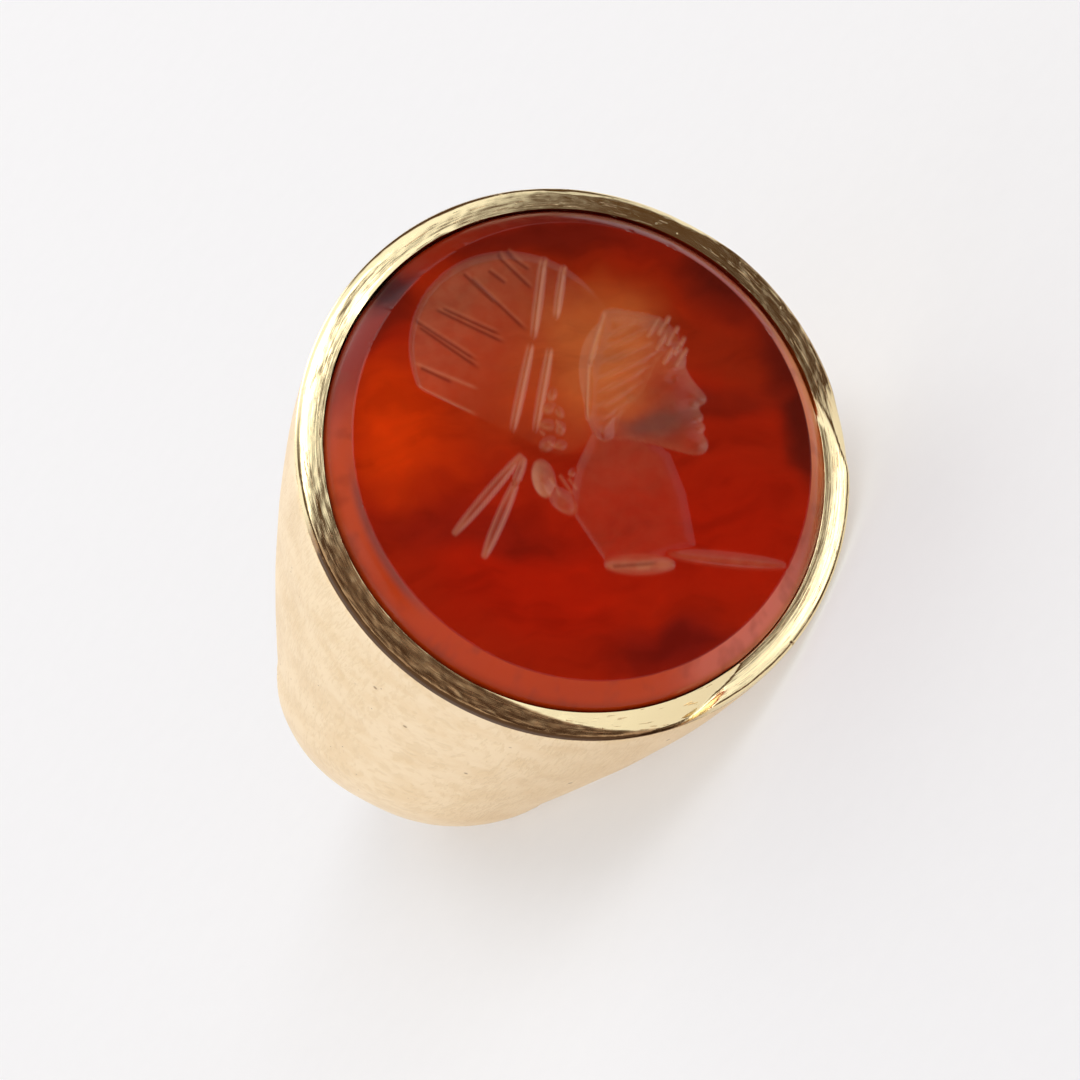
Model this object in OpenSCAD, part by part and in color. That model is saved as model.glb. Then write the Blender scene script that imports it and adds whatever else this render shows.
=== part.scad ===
// A heavy gold signet ring with an engraved carnelian, lying on one of its flat sides.
// Local axes of the ring while it is built: X runs across the finger, Y along the finger hole,
// and Z points out of the bezel, with zero at the top of the gold rim. The last step, laid(),
// turns the ring onto its side, so that the floor is z = 0 and the bezel looks towards -Y.

/* [Bezel] */
// Outer length of the bezel across the finger
bezel_len = 24.3; // [23:0.1:26]
// Outer width of the bezel along the finger
bezel_wid = 23.6; // [22.6:0.1:25]
// Width of the polished gold rim round the stone
rim_w = 1.1; // [0.9:0.05:1.4]

/* [Hoop] */
// Diameter of the finger hole
bore_d = 17; // [15:0.1:17.4]
// Depth of the finger hole's centre below the rim
bore_depth = 12.5; // [12:0.1:13.5]
// Thickness of the gold in the middle of the hoop
hoop_t = 3.4; // [2.8:0.1:4]
// Width of the hoop's rounded surface beside the finger, before the flat sides are cut
waist_wid = 17.4; // [16.5:0.1:18.5]
// Width of the same rounded surface at the back of the finger
back_wid = 5.5; // [5:0.1:8]
// Width between the two flat sides at the back of the finger
side_back_wid = 2.6; // [2:0.1:3.2]
// Squareness of the rounded surface beside the finger, where 2 is an ellipse
waist_square = 2.4; // [2.1:0.1:3]

/* [Stone] */
// Height of the stone's flat face above the rim
stone_rise = 1.03; // [0.6:0.01:1.4]
// Width of the slanted edge round the flat face
stone_bevel = 0.9; // [0.5:0.05:1.2]
// Depth of the stone below the rim
stone_depth = 2; // [1.5:0.1:2.2]
// Gap all round between the stone and its seat
stone_gap = 0.05; // [0.03:0.01:0.1]

/* [Engraving] */
// Angle of the upright picture on the stone, from the X axis to the picture's right hand side
picture_turn = 129.6; // [0:0.1:360]
// Depth of the broad hollows of crest, head and neck
hollow_depth = 0.32; // [0.2:0.01:0.45]
// Depth of the narrow grooves
groove_depth = 0.16; // [0.08:0.01:0.25]

/* [Hidden] */
$fn = 96;

// How far a cutter runs past what it cuts
over = 2;

// Depth at which the rounded rim passes into the shoulders
shoulder_top = 0.5;

// Half sizes that the formulas below use
half_len = bezel_len / 2;
half_wid = bezel_wid / 2;
oval = bezel_len / bezel_wid;
bore_r = bore_d / 2;
hoop_r = bore_r + hoop_t;

// The flat sides run straight from the rim to the back, and this is their slope
back_depth = bore_depth + hoop_r;
side_slope = (half_wid - side_back_wid / 2) / (back_depth - shoulder_top);
side_lean = atan(side_slope);

// The stone fills its seat, which stops a little above the finger hole
seat_wid = bezel_wid - 2 * rim_w;
stone_wid = seat_wid - 2 * stone_gap;

// How fast the shoulders narrow with depth, and how fast the hoop narrows round to its back
shoulder_power = 1.5;
hoop_power = 1.8;

// Rows from the top of the rim down its rounded outer edge: [inset from the outline, drop]
RIM_ROWS = [[0.75, 0], [0.42, 0.05], [0.17, 0.17], [0.03, 0.33]];
shoulder_steps = 11;
hoop_steps = 9;
around = 72;

// Rows up the stone: [share of the bevel taken off the radius, height above the rim]
STONE_ROWS = [
    [0.55, -stone_depth],
    [0.12, 0.5 - stone_depth],
    [0, 1.1 - stone_depth],
    [0, -0.08],
    [0.5, 0.49 * stone_rise],
    [0.94, 0.95 * stone_rise],
    [1.04, stone_rise]
];

// Places on the picture, in millimetres from its middle: x to its right, y up.
// Narrow grooves, each cut by the edge of a small wheel: [x1, y1, x2, y2, width]
CREST_RAYS = [
    [-0.9, 9.1, 0.2, 8.1, 0.16],
    [-1.5, 9, -0.2, 7.1, 0.2],
    [-2.9, 8.7, -0.9, 5.3, 0.2],
    [-2.9, 8, -2.2, 6.5, 0.16],
    [-4.5, 7.1, -1.9, 5.2, 0.2],
    [-4.1, 6.7, -2.1, 5, 0.16],
    [-5.7, 6.8, -3.3, 4.4, 0.16],
    [-6.1, 5, -3.6, 3.4, 0.2],
    [-6.2, 3.9, -4, 2, 0.16]
];
BAND_STROKES = [
    [0.6, 8.4, -0.8, 5.5, 0.22],
    [1.3, 7.9, 0.5, 6.1, 0.2],
    [-1.1, 4.5, -2.8, 1.4, 0.26],
    [-0.3, 4.2, -1.8, 1.2, 0.26]
];
RIBBON_ENDS = [
    [-2.8, 0.2, -6.5, -2.6, 0.32],
    [-2.5, 0, -3.4, -1, 0.3],
    [-3.2, -0.8, -5.5, -3.8, 0.36]
];
BUST_EDGE = [
    [-0.5, -5, 2.4, -5.5, 0.8],
    [2.7, -5.1, 6.8, -6.5, 0.5]
];
// Small round drilled hollows: [x, y, radius]
DRILLED = [
    [-0.5, 2.4, 0.22],
    [-0.9, 1.8, 0.26],
    [-1.2, 1, 0.3],
    [-2.1, -0.7, 0.62],
    [-2.1, -1.7, 0.5],
    [-1, -1.8, 0.3],
    [5.8, -6.2, 0.2]
];
// Depth of a drilled hollow as a share of its radius
drill_share = 0.8;
// The head: the middle of its height and depth on the picture, and its height
head_at = [3.1, 2.2];
head_high = 7.2;
// Hollows of a plain head in profile on the usual drawing proportions, as shares of its height
// from its middle: the face in three equal thirds from hairline to chin, the mouth a third of
// the way from nose to chin, and the head seven eighths as deep as it is high.
// [forward, up, radius, depth] for skull, jaw, brow, nose, mouth and chin
HEAD_SHARES = [
    [-0.06, 0.13, 0.37, 0.045],
    [0.07, -0.2, 0.26, 0.036],
    [0.29, 0.1, 0.06, 0.018],
    [0.36, -0.15, 0.055, 0.02],
    [0.33, -0.3, 0.04, 0.014],
    [0.28, -0.43, 0.06, 0.02]
];
// The crest's hollow, part of a disc: its middle, radius, tilt and the way that it deepens
crest_at = [-1.7, 4.4];
crest_r = 4.62;
crest_tilt = 3;
crest_way = 127;
// The neck, one broad smooth cut
neck_from = [1.5, -1.2];
neck_to = [1.7, -5.4];
neck_wid = 4.2;

// A cosine or sine raised to a power keeps its sign, which squares an ellipse's corners
function signed_pow(v, p) = sign(v) * pow(abs(v), p);
function oval_point(angle, len_r, wid_r, square) =
    [len_r * signed_pow(cos(angle), 2 / square), wid_r * signed_pow(sin(angle), 2 / square)];

// One loop of the rim, a smaller copy of the bezel's outline
function rim_loop(inset, drop) = [
    for (i = [0 : around - 1])
        let (q = oval_point(i * 360 / around, half_len - inset, half_wid - inset, 2))
            [q[0], q[1], -drop]
];

// One level loop of the shoulders, which narrow from the bezel to the hoop's waist
function shoulder_loop(depth) =
    let (
        share = depth / bore_depth,
        len_r = half_len + (hoop_r - half_len) * share,
        wid_r = half_wid + (waist_wid / 2 - half_wid) * pow(share, shoulder_power),
        square = 2 + (waist_square - 2) * share
    )
    [
        for (i = [0 : around - 1])
            let (q = oval_point(i * 360 / around, len_r, wid_r, square))
                [q[0], q[1], -depth]
    ];

// One loop of the hoop's back half, folded down about the finger hole's centre by an angle
function hoop_loop(angle) =
    let (
        share = 1 - pow(cos(angle), hoop_power),
        wid_r = waist_wid / 2 + (back_wid - waist_wid) / 2 * share
    )
    [
        for (i = [0 : around - 1])
            let (q = oval_point(i * 360 / around, hoop_r, wid_r, waist_square))
                [q[0] * cos(angle), q[1], -bore_depth - abs(q[0]) * sin(angle)]
    ];

BODY_LOOPS = concat(
    [for (row = RIM_ROWS) rim_loop(row[0], row[1])],
    [
        for (i = [0 : shoulder_steps])
            shoulder_loop(shoulder_top + (bore_depth - shoulder_top) * i / shoulder_steps)
    ],
    [for (i = [1 : hoop_steps - 1]) hoop_loop(90 * i / hoop_steps)]
);

// The last loop is folded flat, so its left half shares the points of its right half
LAST_LOOP = hoop_loop(90);
RIGHT_HALF = [for (i = [0 : around / 2]) LAST_LOOP[(i + around * 3 / 4) % around]];

function folded(i) =
    let (k = (i + around / 4) % around)
    k <= around / 2 ? k : around - k;

// Splits one four-sided patch between loops, with its diagonal mirrored from quarter to quarter
function patch_half(i, half, a, b, c, d) =
    floor(4 * i / around) % 2 == 1
        ? (half == 0 ? [a, b, c] : [a, c, d])
        : (half == 0 ? [a, b, d] : [b, c, d]);

module gold_form() {
    loops = len(BODY_LOOPS);
    top = [for (i = [around - 1 : -1 : 0]) i];
    walls = [
        for (j = [0 : loops - 2], i = [0 : around - 1], half = [0, 1])
            let (a = j * around + i, b = j * around + (i + 1) % around)
                patch_half(i, half, a, b, b + around, a + around)
    ];
    start = loops * around;
    last = [
        for (i = [0 : around - 1], half = [0, 1])
            let (
                a = (loops - 1) * around + i,
                b = (loops - 1) * around + (i + 1) % around,
                c = start + folded(i + 1),
                d = start + folded(i)
            )
            half == 0 ? [a, b, c] : [a, c, d]
    ];
    points = [for (ring = concat(BODY_LOOPS, [RIGHT_HALF]), p = ring) p];
    polyhedron(points, concat([top], walls, last), convexity = 6);
}

// Everything beyond one flat side, which touches the rim's widest line and the hoop's back
module beyond_side() {
    reach = 2 * (back_depth + over);
    translate([0, half_wid, -shoulder_top])
        rotate([-side_lean, 0, 0])
            translate([-reach / 2, 0, -reach])
                cube([reach, reach, 2 * reach]);
}

// Turns the finished ring onto the flat side at its local +Y, with the bezel towards -Y.
// The origin is the middle of its footprint, from the stone's edge to the back of the hoop.
module laid() {
    floor_lift = half_wid * cos(side_lean) + shoulder_top * sin(side_lean);
    face_wid = stone_wid / 2 - STONE_ROWS[len(STONE_ROWS) - 1][0] * stone_bevel;
    reach_front = face_wid * sin(side_lean) + stone_rise * cos(side_lean);
    reach_back = max([for (p = LAST_LOOP) -p[1] * sin(side_lean) - p[2] * cos(side_lean)]);
    translate([0, (reach_front - reach_back) / 2, floor_lift])
        rotate([90 - side_lean, 0, 0])
            rotate([0, 0, 180])
                children();
}

// The recess that takes the stone, open at the top of the rim
module seat() {
    outline = [
        for (i = [0 : around - 1])
            oval_point(i * 360 / around, oval * seat_wid / 2, seat_wid / 2, 2)
    ];
    translate([0, 0, -stone_depth - stone_gap])
        linear_extrude(stone_depth + stone_gap + over)
            polygon(outline);
}

module hoop() {
    color("#E9CF9A")
        laid()
            difference() {
                gold_form();
                beyond_side();
                mirror([0, 1, 0]) beyond_side();
                translate([0, 0, -bore_depth])
                    rotate([90, 0, 0])
                        cylinder(h = bezel_wid + 2 * over, d = bore_d, center = true);
                seat();
            }
}

// One level loop round the stone, in from its widest outline by an inset
function stone_loop(inset, height) = [
    for (i = [0 : around - 1])
        let (q = oval_point(i * 360 / around, oval * stone_wid / 2 - inset, stone_wid / 2 - inset, 2))
            [q[0], q[1], height]
];

module stone_form() {
    rows = len(STONE_ROWS);
    points = [
        for (row = STONE_ROWS, p = stone_loop(row[0] * stone_bevel, row[1])) p
    ];
    walls = [
        for (j = [0 : rows - 2], i = [0 : around - 1], half = [0, 1])
            let (a = j * around + i, b = j * around + (i + 1) % around)
                half == 0 ? [a, b + around, b] : [a, a + around, b + around]
    ];
    back = [for (i = [0 : around - 1]) i];
    face = [for (i = [around - 1 : -1 : 0]) (rows - 1) * around + i];
    polyhedron(points, concat([back], walls, [face]), convexity = 2);
}

// A groove as a wheel cuts it: deepest in the middle and running out at both ends
module wheel_cut(start, end, width, depth) {
    run = end - start;
    span = norm(run);
    wheel_r = (span * span / 4 + depth * depth) / (2 * depth);
    translate([(start[0] + end[0]) / 2, (start[1] + end[1]) / 2, wheel_r - depth])
        rotate([0, 0, atan2(run[1], run[0])])
            rotate([90, 0, 0])
                cylinder(h = width, r = wheel_r, center = true, $fn = 180);
}

// A round hollow as a drill with a ball end leaves it
module ball_cut(at, r, depth) {
    ball_r = (r * r + depth * depth) / (2 * depth);
    translate([at[0], at[1], ball_r - depth])
        sphere(r = ball_r, $fn = 180);
}

// The crest's hollow is flat and tilted, deep at its round edge and running out at the band
module crest_cut() {
    translate([crest_at[0], crest_at[1], 0])
        rotate([0, 0, crest_way])
            translate([crest_r, 0, -hollow_depth])
                rotate([0, crest_tilt, 0])
                    translate([-crest_r, 0, 0])
                        cylinder(h = hollow_depth + over, r = crest_r);
}

module engraving() {
    translate([0, 0, stone_rise])
        rotate([0, 0, picture_turn]) {
            crest_cut();
            wheel_cut(neck_from, neck_to, neck_wid, hollow_depth / 2);
            for (row = HEAD_SHARES)
                ball_cut(head_at + head_high * [row[0], row[1]], head_high * row[2], head_high * row[3]);
            for (row = DRILLED)
                ball_cut([row[0], row[1]], row[2], row[2] * drill_share);
            for (row = concat(BAND_STROKES, RIBBON_ENDS, BUST_EDGE))
                wheel_cut([row[0], row[1]], [row[2], row[3]], row[4], groove_depth);
            for (row = CREST_RAYS)
                wheel_cut([row[0], row[1]], [row[2], row[3]], row[4], hollow_depth + groove_depth / 2);
        }
}

module stone() {
    color("#B5280F")
        laid()
            difference() {
                stone_form();
                engraving();
            }
}

hoop();
stone();
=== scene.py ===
# %% [markdown]
# # A gold signet ring with an engraved carnelian
#
# The ring is one heavy piece of gold: a hoop that widens in smooth shoulders to a round bezel.
# A flat carnelian sits in the bezel and stands a little proud of its rim, and a head in profile
# is cut into the stone. The ring lies on one of its flat sides on a pale floor.
#
# The lesson makes two meshes, gold and stone, from formulas. It gives each a worn finish, then
# sets the camera and the light. Lengths are in millimetres until a mesh is made.

# %% Load the fixed frame
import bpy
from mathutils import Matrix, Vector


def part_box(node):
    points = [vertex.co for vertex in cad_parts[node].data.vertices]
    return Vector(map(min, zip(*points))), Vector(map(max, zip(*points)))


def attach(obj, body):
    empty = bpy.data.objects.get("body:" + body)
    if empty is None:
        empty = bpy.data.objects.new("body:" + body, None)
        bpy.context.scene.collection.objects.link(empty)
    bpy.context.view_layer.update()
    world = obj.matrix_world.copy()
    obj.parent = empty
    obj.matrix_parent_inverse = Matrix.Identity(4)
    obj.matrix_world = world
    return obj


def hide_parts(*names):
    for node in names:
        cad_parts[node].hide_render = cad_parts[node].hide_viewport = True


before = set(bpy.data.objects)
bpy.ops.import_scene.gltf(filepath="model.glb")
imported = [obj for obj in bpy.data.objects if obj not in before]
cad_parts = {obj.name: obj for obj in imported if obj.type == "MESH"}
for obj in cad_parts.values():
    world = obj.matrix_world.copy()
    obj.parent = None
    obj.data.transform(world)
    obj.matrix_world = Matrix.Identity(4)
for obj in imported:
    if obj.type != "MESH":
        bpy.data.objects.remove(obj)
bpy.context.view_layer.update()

# %% Tools of the lesson
import math

import bpy
import bmesh
import numpy as np
from mathutils import Matrix, Vector

MM = 0.001

# %% [markdown]
# ## Sizes and axes
#
# It is easier to shape a ring in its own axes than in the way it happens to lie. Here X runs
# across the finger, Y along the finger hole, and Z out of the bezel with zero at the top of the
# rim. One function then turns every finished point onto the floor. A parent object with a
# rotation would do too, but a node of the frame keeps its place in its mesh, so these pieces do
# the same.

# %% Sizes of the bezel, hoop and stone
HALF_LEN, HALF_WID = 12.15, 11.8
RIM_W = 1.1
BORE_R, BORE_DEPTH = 8.5, 12.5
HOOP_R = 11.9
WAIST_HALF, BACK_HALF, SIDE_BACK_HALF = 8.7, 2.75, 1.3
WAIST_SQUARE = 2.4
SHOULDER_TOP = 0.5
SHOULDER_POWER, HOOP_POWER = 1.5, 1.8
STONE_RISE, STONE_BEVEL, STONE_DEPTH, STONE_GAP = 1.03, 0.9, 2.0, 0.05
OVAL = HALF_LEN / HALF_WID
BACK_DEPTH = BORE_DEPTH + HOOP_R
SIDE_SLOPE = (HALF_WID - SIDE_BACK_HALF) / (BACK_DEPTH - SHOULDER_TOP)
SEAT_HALF = HALF_WID - RIM_W
STONE_HALF = SEAT_HALF - STONE_GAP
FACE_INSET = 1.04 * STONE_BEVEL
FACE_LEN, FACE_WID = OVAL * STONE_HALF - FACE_INSET, STONE_HALF - FACE_INSET
print("the flat sides lean", round(math.degrees(math.atan(SIDE_SLOPE)), 2), "degrees")

# %% Turn points from the ring's own axes onto the floor
lean = math.atan(SIDE_SLOPE)
floor_lift = HALF_WID * math.cos(lean) + SHOULDER_TOP * math.sin(lean)


def laid(points):
    """Ring axes in millimetres to the frame in metres."""
    p = np.asarray(points, float)
    x, y, z = p[..., 0], p[..., 1], p[..., 2]
    turned = np.stack(
        [-x, -y * math.sin(lean) - z * math.cos(lean), z * math.sin(lean) - y * math.cos(lean)],
        axis=-1,
    )
    return (turned + [0, front_shift, floor_lift]) * MM


# laid without a shift first, to measure how far the stone is from its place in the frame
front_shift = 0.0
stone_low = Vector(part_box("stone")[0])
front_edge = laid([0, FACE_WID, STONE_RISE])
front_shift = (stone_low.y - front_edge[1]) / MM
print("rim centre in the frame", laid([0, 0, 0]))

# %% [markdown]
# ## The gold's outer form
#
# A goldsmith forges and files such a ring from one bar: a rounded outer surface, a bezel, and two
# flat sides. It could be built by subdividing a cage, but then its outline would only come close
# to the wanted one. Here loops are stacked from the rim to the back instead. Each loop is a
# slightly squared ellipse, and the last ones are folded about the finger hole. A soft limit on
# each loop's width files the flat sides and leaves their edges gently worn.

# %% The loops of the outer form
AROUND = 768
turn = np.linspace(0, 2 * np.pi, AROUND, endpoint=False)


def step(value, low, high):
    """Rises smoothly from 0 at low to 1 at high."""
    t = np.clip((value - low) / (high - low), 0, 1)
    return t * t * (3 - 2 * t)


def oval_loop(len_r, wid_r, square=2.0):
    """A loop that is an ellipse at square 2 and grows fuller corners above it."""
    c, s = np.cos(turn), np.sin(turn)
    x = len_r * np.sign(c) * np.abs(c) ** (2 / square)
    y = wid_r * np.sign(s) * np.abs(s) ** (2 / square)
    return x, y


def side_half(depth):
    """Half the width between the two flat sides at a depth below the rim."""
    return HALF_WID - SIDE_SLOPE * (depth - SHOULDER_TOP)


def filed(y, depth, soft=0.1):
    """Limits y to the flat sides, with a rounded edge instead of a sharp one."""
    over = np.abs(y) - side_half(depth)
    return np.sign(y) * (np.abs(y) - 0.5 * (over + np.sqrt(over ** 2 + soft ** 2)))


def shoulder_size(depth):
    """Half length, half width and squareness of the shoulders at a depth below the rim."""
    share = depth / BORE_DEPTH
    return (HALF_LEN + (HOOP_R - HALF_LEN) * share,
            HALF_WID + (WAIST_HALF - HALF_WID) * share ** SHOULDER_POWER,
            2 + (WAIST_SQUARE - 2) * share)


def hoop_half(angle):
    """Half the hoop's width at an angle round the finger hole."""
    return WAIST_HALF + (BACK_HALF - WAIST_HALF) * (1 - math.cos(angle) ** HOOP_POWER)


def shoulder_loop(depth, rub):
    """A loop of the shoulders, pushed out or in a little by rub."""
    half_len, half_wid, square = shoulder_size(depth)
    x, y = oval_loop(half_len + rub, half_wid + rub, square)
    return np.stack([x, filed(y, depth), np.full(AROUND, -depth)], axis=-1)


def hoop_loop(angle):
    """A loop of the hoop: flat at angle 0, else with its two halves folded down by the angle."""
    x, y = oval_loop(HOOP_R, hoop_half(angle), WAIST_SQUARE)
    depth = BORE_DEPTH + np.abs(x) * math.sin(angle)
    return np.stack([x * math.cos(angle), filed(y, depth), -depth], axis=-1)


# %% Rub the shoulders by hand
def hand_noise(rows, along, across, seed):
    """Soft noise for rows of loops, with its grain's length given in points along and across."""
    white = np.random.default_rng(seed).standard_normal((rows, AROUND))
    f_row, f_turn = np.fft.fftfreq(rows)[:, None], np.fft.fftfreq(AROUND)[None, :]
    blur = np.exp(-((f_row * across) ** 2 + (f_turn * along) ** 2) * 9)
    soft = np.fft.ifft2(np.fft.fft2(white) * blur).real
    return soft / soft.std()


SHOULDER_LOOPS, HOOP_LOOPS, RUB = 30, 30, 0.02
depths = np.linspace(SHOULDER_TOP, BORE_DEPTH, SHOULDER_LOOPS)
none_at_ends = np.sin(np.pi * np.arange(SHOULDER_LOOPS) / (SHOULDER_LOOPS - 1))[:, None]
rubs = RUB * hand_noise(SHOULDER_LOOPS, 26, 3, 3) * none_at_ends
shoulders = [shoulder_loop(d, rub) for d, rub in zip(depths, rubs)]
back_loops = [hoop_loop(a) for a in np.linspace(0, math.pi / 2, HOOP_LOOPS + 2)[1:-1]]
print("shoulder loops", len(shoulders), "hoop loops", len(back_loops))

# %% [markdown]
# ## The rim
#
# The rim was pushed over the stone with a burnisher and then worn by years on a hand. Bump alone
# would light such a rim well but leave its outline too perfect, so the wear is real shape. The
# rim's section changes on its way round: flat with a tight outer edge above the big shoulder,
# leaning in towards the stone beside it, and softly rounded in between. Where the flat part ends,
# a bright facet starts at the stone and widens outwards. Dents are deepest where the rim is flat,
# and at one place the burnisher left a thin bead standing along the stone.

# %% Helpers that pick a part of the rim
def sector(place, start, end, soft):
    """One between two angles in degrees, falling to nothing within a soft margin outside them."""
    middle, half = 0.5 * (start + end), 0.5 * (end - start)
    away = np.degrees(np.abs(np.angle(np.exp(1j * (place - math.radians(middle))))))
    return step(away, half + soft, half)


FLAT_PART, FAR_FLAT_PART, LEANING_PART = (-44, 30, 20), (138, 166, 16), (66, 128, 6)
BEAD_PART = (-122, -102, 8)
FACET_WIDE, FACET_STEEP, FACET_WIDENS, FACET_ENDS = 0.9, 0.34, (2, 48), (76, 66)


def facet_width(place):
    """How far a bright facet reaches outwards from the stone."""
    degrees = np.degrees(np.angle(np.exp(1j * place)))
    return FACET_WIDE * step(degrees, *FACET_WIDENS) * step(degrees, *FACET_ENDS)


leaning_part = sector(turn, *LEANING_PART)
flat_part = (sector(turn, *FLAT_PART) + sector(turn, *FAR_FLAT_PART)) * (1 - leaning_part)
print("share of the rim that is flat", round(float(flat_part.mean()), 2))

# %% Sections of the rim
def smooth_line(points, between, closed=False):
    """A smooth line through the points, with this many steps in each gap."""
    p = np.array(points, float)
    p = np.concatenate([p[-1:], p, p[:2]] if closed else [p[:1], p, p[-1:]])
    t = np.linspace(0, 1, between, endpoint=False)[:, None]
    gaps = [
        0.5 * (2 * b + (c - a) * t + (2 * a - 5 * b + 4 * c - d) * t ** 2 + (3 * b - a - 3 * c + d) * t ** 3)
        for a, b, c, d in zip(p, p[1:], p[2:], p[3:])
    ]
    return np.concatenate(gaps if closed else gaps + [p[-1:]])


LIP_INSET, LIP_DROP, RIM_EDGE, RIM_FOOT = 1.06, 0.22, 0.012, -0.46
# inset from the outer edge, height
SOFT = [(LIP_INSET, 0), (0.80, -0.035), (0.55, -0.08), (0.33, -0.135), (0.16, -0.225), (0.05, -0.345)]
FLAT = [(LIP_INSET, 0), (0.78, -0.02), (0.50, -0.04), (0.26, -0.06), (0.10, -0.085), (0.03, -0.22)]
LEANING = [
    (LIP_INSET, -LIP_DROP), (0.80, -0.18), (0.55, -0.115), (0.33, -0.045), (0.12, -0.005), (0.04, -0.12),
]
soft_section, flat_section, leaning_section = (
    smooth_line([*points, (RIM_EDGE, RIM_FOOT)], 4) for points in (SOFT, FLAT, LEANING)
)
RIM_ROWS = len(soft_section)
BEAD_HIGH, BEAD_WIDE = 0.085, 0.17
bead_rise = BEAD_HIGH * sector(turn, *BEAD_PART)
facet_wide = np.maximum(facet_width(turn), 0.001)
print("rows in each section", RIM_ROWS, "widest facet", round(float(facet_wide.max()), 2), "mm")

# %% Loops from the seat's floor up over the rim
LIP_ROWS, LIP_FOOT, LIP_LEAN, LEAN_SKEW = 4, -0.25, 0.035, math.radians(18)
DENT, FLAT_DENT, WAVE, FINE_WEAR, WEAR_SPARED = 0.003, 0.006, 0.013, 0.002, 0.6
SEAT_HEIGHTS = (-STONE_DEPTH - STONE_GAP, -1.2, -0.35)
lip_waver = 0.012 * hand_noise(1, 30, 1, 5)[0]
dents = hand_noise(RIM_ROWS, 3.2, 2.2, 11)
waves = hand_noise(RIM_ROWS, 18, 6, 12)
fine = hand_noise(RIM_ROWS, 1.6, 1.0, 13)
wear = (DENT + FLAT_DENT * flat_part) * dents + WAVE * waves + FINE_WEAR * fine
wear *= 1 - WEAR_SPARED * leaning_part


def rim_loop(inset, height):
    """A loop this far inside the bezel's outer edge, at a height with zero at the rim's top."""
    x, y = oval_loop(HALF_LEN, HALF_WID)
    inward = inset / np.hypot(x, y)
    return np.stack([x * (1 - inward), y * (1 - inward), height], axis=-1)


seat_x, seat_y = oval_loop(OVAL * SEAT_HALF, SEAT_HALF)
seat_loops = [np.stack([seat_x, seat_y, np.full(AROUND, z)], axis=-1) for z in SEAT_HEIGHTS]
lip_loops = [
    rim_loop(RIM_W + 0.005 + (lip_waver - LIP_LEAN) * k,
             LIP_FOOT + (bead_rise - LIP_DROP * leaning_part - LIP_FOOT) * k)
    for k in np.linspace(0, 1, LIP_ROWS, endpoint=False)
]
rim_loops = []
for row in range(RIM_ROWS):
    share = row / (RIM_ROWS - 1)
    leaning_here = sector(turn + LEAN_SKEW * share, *LEANING_PART)
    inset, height = soft_section[row][:, None] + (
        flat_part * (1 - leaning_here) * (flat_section - soft_section)[row][:, None]
        + leaning_here * (leaning_section - soft_section)[row][:, None]
    )
    bead_here = bead_rise * np.clip((inset - LIP_INSET) / BEAD_WIDE + 1, 0, 1)
    height = height - FACET_STEEP * (1 - leaning_here) * np.clip(LIP_INSET - inset, 0, facet_wide)
    # no facet cuts below the rim's foot
    height = np.maximum(height, RIM_FOOT + 0.01 * (inset > RIM_EDGE + 1e-6))
    worn = np.abs(wear[row]) * math.sin(math.pi * min(share + 0.12, 1))
    rim_loops.append(rim_loop(inset + lip_waver * (1 - share) ** 2, height + bead_here - worn))
print("rim loops", len(rim_loops), "deepest wear", round(float(np.abs(wear).max()), 3), "mm")

# %% Sew the loops into one closed skin
def placed(name, data):
    """A new object with this mesh, lamp or camera."""
    piece = bpy.data.objects.new(name, data)
    bpy.context.collection.objects.link(piece)
    return piece


def skin(name, points, faces):
    """A piece from points in ring axes and faces by number, with its normals turned outwards."""
    mesh = bpy.data.meshes.new(name)
    mesh.from_pydata(laid(points).tolist(), [], faces)
    bm = bmesh.new()
    bm.from_mesh(mesh)
    bmesh.ops.recalc_face_normals(bm, faces=bm.faces)
    bm.to_mesh(mesh)
    bm.free()
    return placed(name, mesh)


def sewn(name, loops, fold_last=False):
    """A closed mesh from loops with equally many points, capped at the first and the last."""
    count, last = len(loops[0]), len(loops) - 1

    def at(row, i):
        return row * count + i % count

    faces = [(at(row, i), at(row, i + 1), at(row + 1, i + 1), at(row + 1, i))
             for row in range(last) for i in range(count)]
    faces.append([at(0, i) for i in range(count)])
    if fold_last:
        half = count // 2
        for i in range(-half // 2, half // 2):
            corners = at(last, i), at(last, i + 1), at(last, half - i - 1), at(last, half - i)
            faces.append(list(dict.fromkeys(corners)))
    else:
        faces.append([at(last, i) for i in reversed(range(count))])
    return skin(name, np.concatenate(loops), faces)


gold = sewn("gold_ring", seat_loops + lip_loops + rim_loops + shoulders + back_loops, fold_last=True)
print("gold skin", len(gold.data.polygons), "faces")

# %% [markdown]
# ## The finger hole
#
# The hole is a true cylinder, but a ring that is worn has no sharp edge there: it would cut the
# finger. A bevel after the cut is fragile on a dense mesh. So the cutter itself is flared: it
# follows the cylinder, and just inside each flat side it opens out in a quarter round.

# %% A flared cutter for the finger hole
def outer_half(x, depth):
    """Half the width of the gold at a place below the rim."""
    below = depth - BORE_DEPTH
    if below <= 0:
        half_len, half_wid, square = shoulder_size(depth)
        along = abs(x) / half_len
    else:
        half_wid, square = hoop_half(math.atan2(below, max(abs(x), 1e-9))), WAIST_SQUARE
        along = math.hypot(x, below) / HOOP_R
    return min(half_wid * max(1 - along ** square, 0) ** (1 / square), side_half(depth))


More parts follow.
